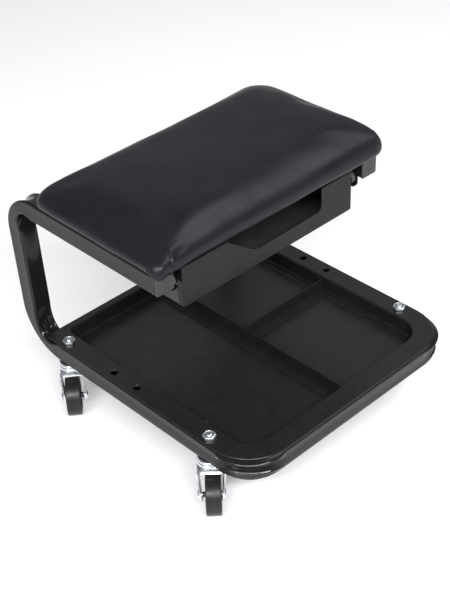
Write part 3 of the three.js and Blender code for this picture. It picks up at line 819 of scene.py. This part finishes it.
def drawer_front():
    """The drawer's face, with a side lip at each end; the left end of its cut-out slopes up."""
    lo, hi = box_mm("drawer_front")
    top = hi.z
    cut = [(CUT_RIGHT_X, top)]
    cut += arc(CUT_RIGHT_X - CUT_CORNER_R, CUT_CORNER_Z, CUT_CORNER_R, 0, -88, 10)
    cut += [(CUT_LOW_X - 14 * t - 4 * t * t, CUT_LOW_Z + 0.1 * t + 5.7 * t * t)
            for t in (0, 0.25, 0.5, 0.75, 1)]
    cut += [(CUT_LEFT_X, top)]
    corner = 1.6
    outline = [(lo.x + corner, lo.z), (hi.x - corner, lo.z), (hi.x, lo.z + corner), (hi.x, top)] + cut
    outline += [(lo.x, top), (lo.x, lo.z + corner)]
    panel = prism("panel", outline, lo.y, lo.y + SHEET)
    lips = [prism("lip", [(x0, lo.z + 1), (x1, lo.z + 1), (x1, top - 1), (x0, top - 1)], lo.y + 0.2, hi.y)
            for x0, x1 in ((lo.x, lo.x + SHEET), (hi.x - SHEET, hi.x))]
    front = merged("drawer_face", panel, *lips)
    softened(front, 0.35)
    return finished(smooth(front, 40), FACE, "enamel", "drawer", "drawer_front")


def bent_runner(name, line, sign, y0, y1):
    """A strip of sheet bent along a line of (x, z) pairs, on the side that sign says."""
    outline = [(sign * x, z) for x, z in sheet_outline(line, SHEET)]
    return smooth(softened(prism(name, outline, y0, y1), 0.2, 1, 50), 40)


def channel(side, sign):
    """The rolled channel inside a seat rail, with a curled lip at its foot."""
    lo, hi = box_mm(f"runner_fixed_{side}")
    inner, web = CHANNEL_INNER_X, CHANNEL_OUTER_X - SHEET / 2
    bottom, top = lo.z + SHEET / 2, hi.z - SHEET / 2
    line = [(inner, bottom + 2.6), (inner, bottom + 2.2)]
    line += arc(inner + 2.2, bottom + 2.2, 2.2, 180, 270, 5)
    line += arc(web - 2, bottom + 2, 2, -90, 0, 5)
    line += arc(web - 2, top - 2, 2, 0, 90, 4) + [(inner, top)]
    piece = bent_runner(f"drawer_channel_{side}", line, sign, lo.y, hi.y)
    finished(piece, RUNNER, "runner_enamel", "frame", f"runner_fixed_{side}")


def drawer_rail(side, sign):
    """The flanged rail on the side of the drawer."""
    lo, hi = box_mm(f"runner_drawer_{side}")
    foot = min(abs(lo.x), abs(hi.x)) + SHEET / 2
    far = max(abs(lo.x), abs(hi.x))
    lip = hi.z - SHEET / 2
    line = [(foot, lo.z), (foot, lip - 2)] + arc(foot + 2, lip - 2, 2, 180, 90, 4) + [(far, lip)]
    piece = bent_runner(f"drawer_rail_{side}", line, sign, lo.y, hi.y)
    finished(piece, RUNNER, "runner_enamel", "drawer", f"runner_drawer_{side}")


def slide_roller(end, side):
    lo, hi = box_mm(f"roller_{end}_{side}")
    a, b = lo.x, hi.x
    profile = [(2.4, a), (3.2, a), (3.6, a + 0.5), (6.4, a + 0.5), (7.0, a), (7.5, a + 0.1),
               (8, a + 0.8), (8, b - 0.8), (7.5, b - 0.1), (7.0, b), (6.4, b - 0.5),
               (3.6, b - 0.5), (3.2, b), (2.4, b)]
    roller = lathe(f"drawer_roller_{end}_{side}", profile)
    roller.data.transform(Matrix.Rotation(math.pi / 2, 4, "Y"))
    middle = (lo + hi) / 2
    shifted(roller, 0, middle.y, middle.z)
    finished(smooth(roller, 40), ROLLER, "roller_plastic", f"{end}_roller_{side}", f"roller_{end}_{side}")


def runners():
    for side, sign in SIDES.items():
        channel(side, sign)
        drawer_rail(side, sign)
        for end in ("front", "rear"):
            slide_roller(end, side)


# ---- seat pad ----------------------------------------------------------------------------

PAD_LO, PAD_HI = box_mm("seat_pad")
BOARD_LO, BOARD_HI = box_mm("seat_board")
PAD_FRONT_Y, PAD_REAR_Y = -78, 145
BOARD_GAP = 0.4          # between the board and the hollow that it lies in
CLOTH_FRAMES = 20
MOVE_CAP = 4 * MM        # how far the cloth may carry a point
SPREAD_ROUNDS = 14       # how often the moves are averaged
VOXEL = 4.2 * MM
FOLDS_X, FOLDS_Y, FOLDS_Z = -0.135, -0.045, 0.326    # the left front corner's folds, in metres


def pad_ring(left, right, front, rear, front_r, rear_r, rise):
    """One level ring of the cushion, from a row of PAD_ROWS."""
    ring = rounded_rect((left + right) / 2, PAD_FRONT_Y + front, PAD_REAR_Y - rear, front_r, rear_r,
                        PAD_LO.z + rise, 10)
    return [p + Vector(((right - left) / 2, 0, 0)) for p in ring]


# the cushion's outline from its lower edge to its crown: left, right, insets from the front and
# from the rear, front and rear corner radii, rise
PAD_ROWS = (
    (179.5, 181.5, 4, 4, 6, 10, 0),
    (182.5, 185.5, 0.8, 1, 10, 16, 4),
    (183.3, 188, 0, 0, 13, 21, 10),
    (182.2, 188.8, 0.8, 1, 16, 26, 16),
    (178, 187.6, 3.8, 5, 20, 31, 22.5),
    (166, 183, 12.5, 15.5, 26, 36, 29.5),
    (145, 171, 30, 34, 32, 40, 34.6),
    (108, 136, 64, 68, 26, 28, 37.4),
    (66, 90, 100, 100, 9, 9, 38.4),
)


def along_rows(rows, steps):
    """Rows with smooth ones between them, on a Catmull-Rom curve."""
    table = np.array([rows[0], *rows, rows[-1]], float)
    found = []
    for k in range(1, len(table) - 2):
        before, a, b, after = table[k - 1:k + 3]
        for i in range(steps):
            t = i / steps
            found.append(0.5 * (2 * a + (b - before) * t + (2 * before - 5 * a + 4 * b - after) * t ** 2
                                + (3 * a - before - 3 * b + after) * t ** 3))
    return found + [table[-1]]


def pad_blank():
    """The pad before it swells: the CAD cushion a little slack, hollowed for the board."""
    recess = [rounded_rect(BOARD_HI.x + BOARD_GAP, BOARD_LO.y - BOARD_GAP, BOARD_HI.y + BOARD_GAP,
                           0.5, 0.5, z, 10) for z in (BOARD_HI.z + BOARD_GAP, PAD_LO.z)]
    return mesh_from("pad", *skin(recess + [pad_ring(*row) for row in along_rows(PAD_ROWS, 5)]))


def pinned(co):
    """True for the points of the pad that are stapled to the board or rest on the rails."""
    inside = abs(co.x) < BOARD_HI.x + 3 and BOARD_LO.y - 3 < co.y < BOARD_HI.y + 3
    return co.z < PAD_LO.z + 2.5 or (inside and co.z < BOARD_HI.z + 3)


def swell(pad):
    """Inflates the pad as cloth, then caps how far each point has moved."""
    group = pad.vertex_groups.new(name="stapled")
    rest = [v.co.copy() for v in pad.data.vertices]
    group.add([i for i, co in enumerate(rest) if pinned(co * 1000)], 1.0, "ADD")
    cloth = pad.modifiers.new("cloth", "CLOTH")
    settings = cloth.settings
    settings.quality = 5
    settings.mass = 0.25
    settings.tension_stiffness = settings.compression_stiffness = 12
    settings.shear_stiffness = 4
    settings.bending_stiffness = 0.8
    settings.use_pressure = True
    settings.uniform_pressure_force = 4.0
    settings.vertex_group_mass = "stapled"
    settings.effector_weights.gravity = 0
    cloth.collision_settings.use_collision = False
    scene = bpy.context.scene
    for number in range(1, CLOTH_FRAMES + 1):
        scene.frame_set(number)
    applied(pad)
    scene.frame_set(1)
    moves = np.array([tuple(v.co - co) for v, co in zip(pad.data.vertices, rest)])
    length = np.linalg.norm(moves, axis=1, keepdims=True)
    moves *= np.minimum(1, MOVE_CAP / np.maximum(length, 1e-9))
    moves = spread_out(pad.data, moves, SPREAD_ROUNDS)
    for v, co, move in zip(pad.data.vertices, rest, moves):
        v.co = co + Vector(move)


def spread_out(mesh, values, rounds):
    """Averages a value per point with its neighbours', so that no narrow wrinkle is left."""
    ends = np.zeros(len(mesh.edges) * 2, int)
    mesh.edges.foreach_get("vertices", ends)
    a, b = ends[::2], ends[1::2]
    count = np.bincount(ends, minlength=len(values))[:, None]
    for _ in range(rounds):
        total = np.zeros_like(values)
        np.add.at(total, a, values[b])
        np.add.at(total, b, values[a])
        values = 0.5 * values + 0.5 * total / count
    return values


def refine_corner(pad):
    """Splits the faces round the left front corner again, for the folds there."""
    bm = bmesh.new()
    bm.from_mesh(pad.data)
    near = []
    for face in bm.faces:
        x, y, z = face.calc_center_median()
        if x < FOLDS_X and y < FOLDS_Y and z < FOLDS_Z:
            near.append(face)
    edges = list({e for f in near for e in f.edges})
    bmesh.ops.subdivide_edges(bm, edges=edges, cuts=2, use_grid_fill=True)
    bm.to_mesh(pad.data)
    bm.free()


# how far, in millimetres, each of these carries the vinyl
GATHER, CORNER_PULL, EAR, PLEAT_RIDGE, PLEAT_TUCK, SLIT = 0.6, 2.6, 3.4, 1.3, 2.4, 2.4
UNEVENNESS, HEM_SAG, PLEAT_SAG, HANG = 0.7, 2.2, 3.4, 3.2
FRONT_LEFT_FALL, CORNER_FALL, RIGHT_FILL = 4.5, 3, 3.4


def right_front_folds(x, y, rise):
    """Soft gathers round the right front corner, which is pulled out to the rail's corner."""
    push = 0.0
    dx, dy = x - (PAD_HI.x - 16), y - (PAD_LO.y + 16)
    if dx > -14 and dy < 14:
        around = math.atan2(-dy, dx)
        fold = math.cos(around * 7.0 + 0.6) * bell(around, math.pi / 4, 0.75)
        band = ramp(rise, 0, 9) * (1 - ramp(rise, 15, 31))
        push += GATHER * fold * band * ramp(math.hypot(dx, dy), 4, 15)
    corner = math.hypot(x - PAD_HI.x, y - PAD_LO.y)
    return push + CORNER_PULL * bell(corner, 0, 24) * (1 - ramp(rise, 20, 32))


def left_front_folds(x, y, rise):
    """An ear over the end of the rail, with a pleat in its front and a slit at the side band's end."""
    if x >= -120 or y >= -30:
        return 0.0
    ear = bell(math.hypot(x - PAD_LO.x, y - PAD_LO.y), 0, 17) * (1 - ramp(rise, 17, 30))
    # the vinyl is tucked in on the right of the pleat's edge
    edge = -156.5 + (rise - 8) * 0.3
    front = ramp(-y, 58, 68) * (1 - ramp(rise, 18, 27))
    ridge = bell(x, edge - 2.6, 2.2)
    tuck = ramp(x, edge - 1.3, edge + 1.1) * (1 - ramp(x, edge + 2, edge + 24))
    slit = bell(y + (12 - rise) * 0.3, -62, 1.3) * ramp(-x, 176, 181) * (1 - ramp(rise, 9, 14))
    return EAR * ear + front * (PLEAT_RIDGE * ridge - PLEAT_TUCK * tuck) - SLIT * slit


def lift(x, y, rise):
    """How far the vinyl rises where the foam is fuller, less how far it sinks, sags and hangs."""
    # the front hem sags a little between the rails, and most at the pleat
    sag = HEM_SAG * ramp(168 - abs(x), 0, 14) + PLEAT_SAG * bell(x, -151, 10)
    sag *= ramp(-y, 66, 74) * (1 - ramp(rise, 0, 13))
    # the vinyl hangs down past the rail end at the left front corner
    hang = HANG * ramp(-x, 158, 180) * ramp(-y, 60, 68) * (1 - ramp(rise, 6, 18))
    # the foam falls away towards the left front corner, and is fuller on the right
    fall = FRONT_LEFT_FALL * ramp(-x, 50, 170) * ramp(-y, -40, 70)
    fall += CORNER_FALL * bell(math.hypot(x - PAD_LO.x, y - PAD_LO.y), 0, 26)
    fall *= min(1.0, max(0.0, (rise - 5) / 24))
    return RIGHT_FILL * ramp(x, 40, 165) * ramp(rise, 8, 22) - sag - hang - fall


def shape_pad(pad):
    """Moves the pad's points into what tension and folding do to the vinyl."""
    mesh = pad.data
    normals = [v.normal.copy() for v in mesh.vertices]
    for v, normal in zip(mesh.vertices, normals):
        p = v.co * 1000
        x, y, z = p
        rise = z - PAD_LO.z
        push = right_front_folds(x, y, rise) + left_front_folds(x, y, rise)
        push += UNEVENNESS * noise.noise(Vector((x, y, z)) / 46)
        p += normal * push
        p.z += lift(x, y, rise)
        v.co = p * MM
    mesh.update()


def seat_pad():
    """The cushion: swelled as cloth, smoothed, then folded."""
    pad = pad_blank()
    remesh = pad.modifiers.new("voxels", "REMESH")
    remesh.mode = "VOXEL"
    remesh.voxel_size = VOXEL
    applied(pad)
    swell(pad)
    relax = pad.modifiers.new("relax", "SMOOTH")
    relax.factor, relax.iterations = 0.5, 5
    finer = pad.modifiers.new("finer", "SUBSURF")
    finer.levels = finer.render_levels = 1
    applied(pad)
    refine_corner(pad)
    shape_pad(pad)
    pad.name = "seat_cushion"
    return finished(smooth(pad, 80), VINYL, "vinyl", "frame", "seat_pad")


# ---- CAD pieces that keep their shape ----------------------------------------------------

def keep(node, material, edge):
    """Gives a CAD piece its material, and rounds its edges by so many millimetres."""
    obj = NODES[node]
    obj.data.materials.clear()
    obj.data.materials.append(material)
    smooth(obj, 30)
    if edge:
        softened(obj, edge)


def kept_pieces():
    for node in ("divider_long", "divider_cross"):
        keep(node, TRAY, 0.25)
    keep("drawer_body", DRAWER, 0.35)
    for side in SIDES:
        keep(f"end_cap_{side}", CAP, 0.3)
        for end in ("front", "rear"):
            keep(f"seat_screw_{end}_{side}", ZINC, 0.2)
            keep(f"roller_pin_{end}_{side}", ZINC, 0.2)
    keep("seat_board", BOARD, 0.5)
    for corner in CORNERS:
        keep(f"ball_ring_{corner}", ZINC, 0)


# ---- stage -------------------------------------------------------------------------------

CENTRE = (0, 0, 0.15)
# name, place, width and height in metres, power in watts, and the point that it faces
LIGHTS = (
    ("overhead", (0.75, -0.6, 1.5), (1.1, 1.0), 14, CENTRE),
    ("key", (-1.15, -1.4, 1.75), (3.0, 0.32), 114, CENTRE),
    ("back_right", (1.5, 1.6, 1.5), (2.4, 1.6), 2.5, CENTRE),
    ("left", (-1.9, -0.4, 1.0), (0.8, 0.8), 7, (-0.4, 0.1, 0)),
)
FLOOR_HALF, FLOOR_CORNER, FLOOR_BOTTOM_Z = 6000, 500, -20
SKY_COLOUR, SKY_STRENGTH = (0.97, 0.96, 1.0, 1), 0.31
FLOOR_GLOW = 0.24
CAMERA_PLACE = (-0.87623, -0.93539, 1.06983)
CAMERA_AZIMUTH, CAMERA_ELEVATION, CAMERA_ROLL = -42.605, 36.155, -2.622
SENSOR, LENS = 36, 76.81


def area_light(name, location, size, power, target):
    data = bpy.data.lights.new(name, "AREA")
    data.shape = "RECTANGLE"
    data.size, data.size_y = size
    data.energy = power
    lamp = new_object(name, data)
    lamp.location = location
    lamp.rotation_euler = (Vector(target) - Vector(location)).to_track_quat("-Z", "Y").to_euler()


def pale_floor():
    """A near white floor that glows a little."""
    s = Shader("pale_floor", (0.65, 0.65, 0.655), 0.6, specular=0.2)
    s.colour(s.ranged(s.noise(1.5, 3), 0.35, 0.65), (0.72, 0.72, 0.725), (0.7, 0.7, 0.71))
    s.bump(s.noise(60, 3), 0.1, 0.2)
    s.bsdf.inputs["Emission Color"].default_value = (1, 1, 1, 1)
    s.bsdf.inputs["Emission Strength"].default_value = FLOOR_GLOW
    return s.material


def stage():
    slab = [rounded_rect(FLOOR_HALF, -FLOOR_HALF, FLOOR_HALF, FLOOR_CORNER, FLOOR_CORNER, z, 6)
            for z in (FLOOR_BOTTOM_Z, 0)]
    floor = mesh_from("studio_floor", *skin(slab))
    floor.data.materials.append(pale_floor())
    world = bpy.data.worlds.new("studio")
    world.use_nodes = True
    sky = world.node_tree.nodes["Background"]
    sky.inputs["Color"].default_value = SKY_COLOUR
    sky.inputs["Strength"].default_value = SKY_STRENGTH
    bpy.context.scene.world = world
    for light in LIGHTS:
        area_light(*light)
    bpy.context.scene.view_settings.view_transform = "Standard"


def camera():
    az, el, roll = (math.radians(a) for a in (CAMERA_AZIMUTH, CAMERA_ELEVATION, CAMERA_ROLL))
    back = Vector((math.sin(az) * math.cos(el), -math.cos(az) * math.cos(el), math.sin(el)))
    right = Vector((0, 0, 1)).cross(back).normalized()
    up = back.cross(right)
    turned_right = math.cos(roll) * right + math.sin(roll) * up
    turned_up = -math.sin(roll) * right + math.cos(roll) * up
    data = bpy.data.cameras.new("camera")
    data.sensor_width = SENSOR
    data.lens = LENS
    data.clip_end = 50
    view = new_object("camera", data)
    turn = Matrix((turned_right, turned_up, back)).transposed().to_4x4()
    view.matrix_world = Matrix.Translation(CAMERA_PLACE) @ turn
    bpy.context.scene.camera = view


camera()
stage()
frame_tube()
tool_tray()
casters()
drawer_front()
runners()
kept_pieces()
seat_pad()
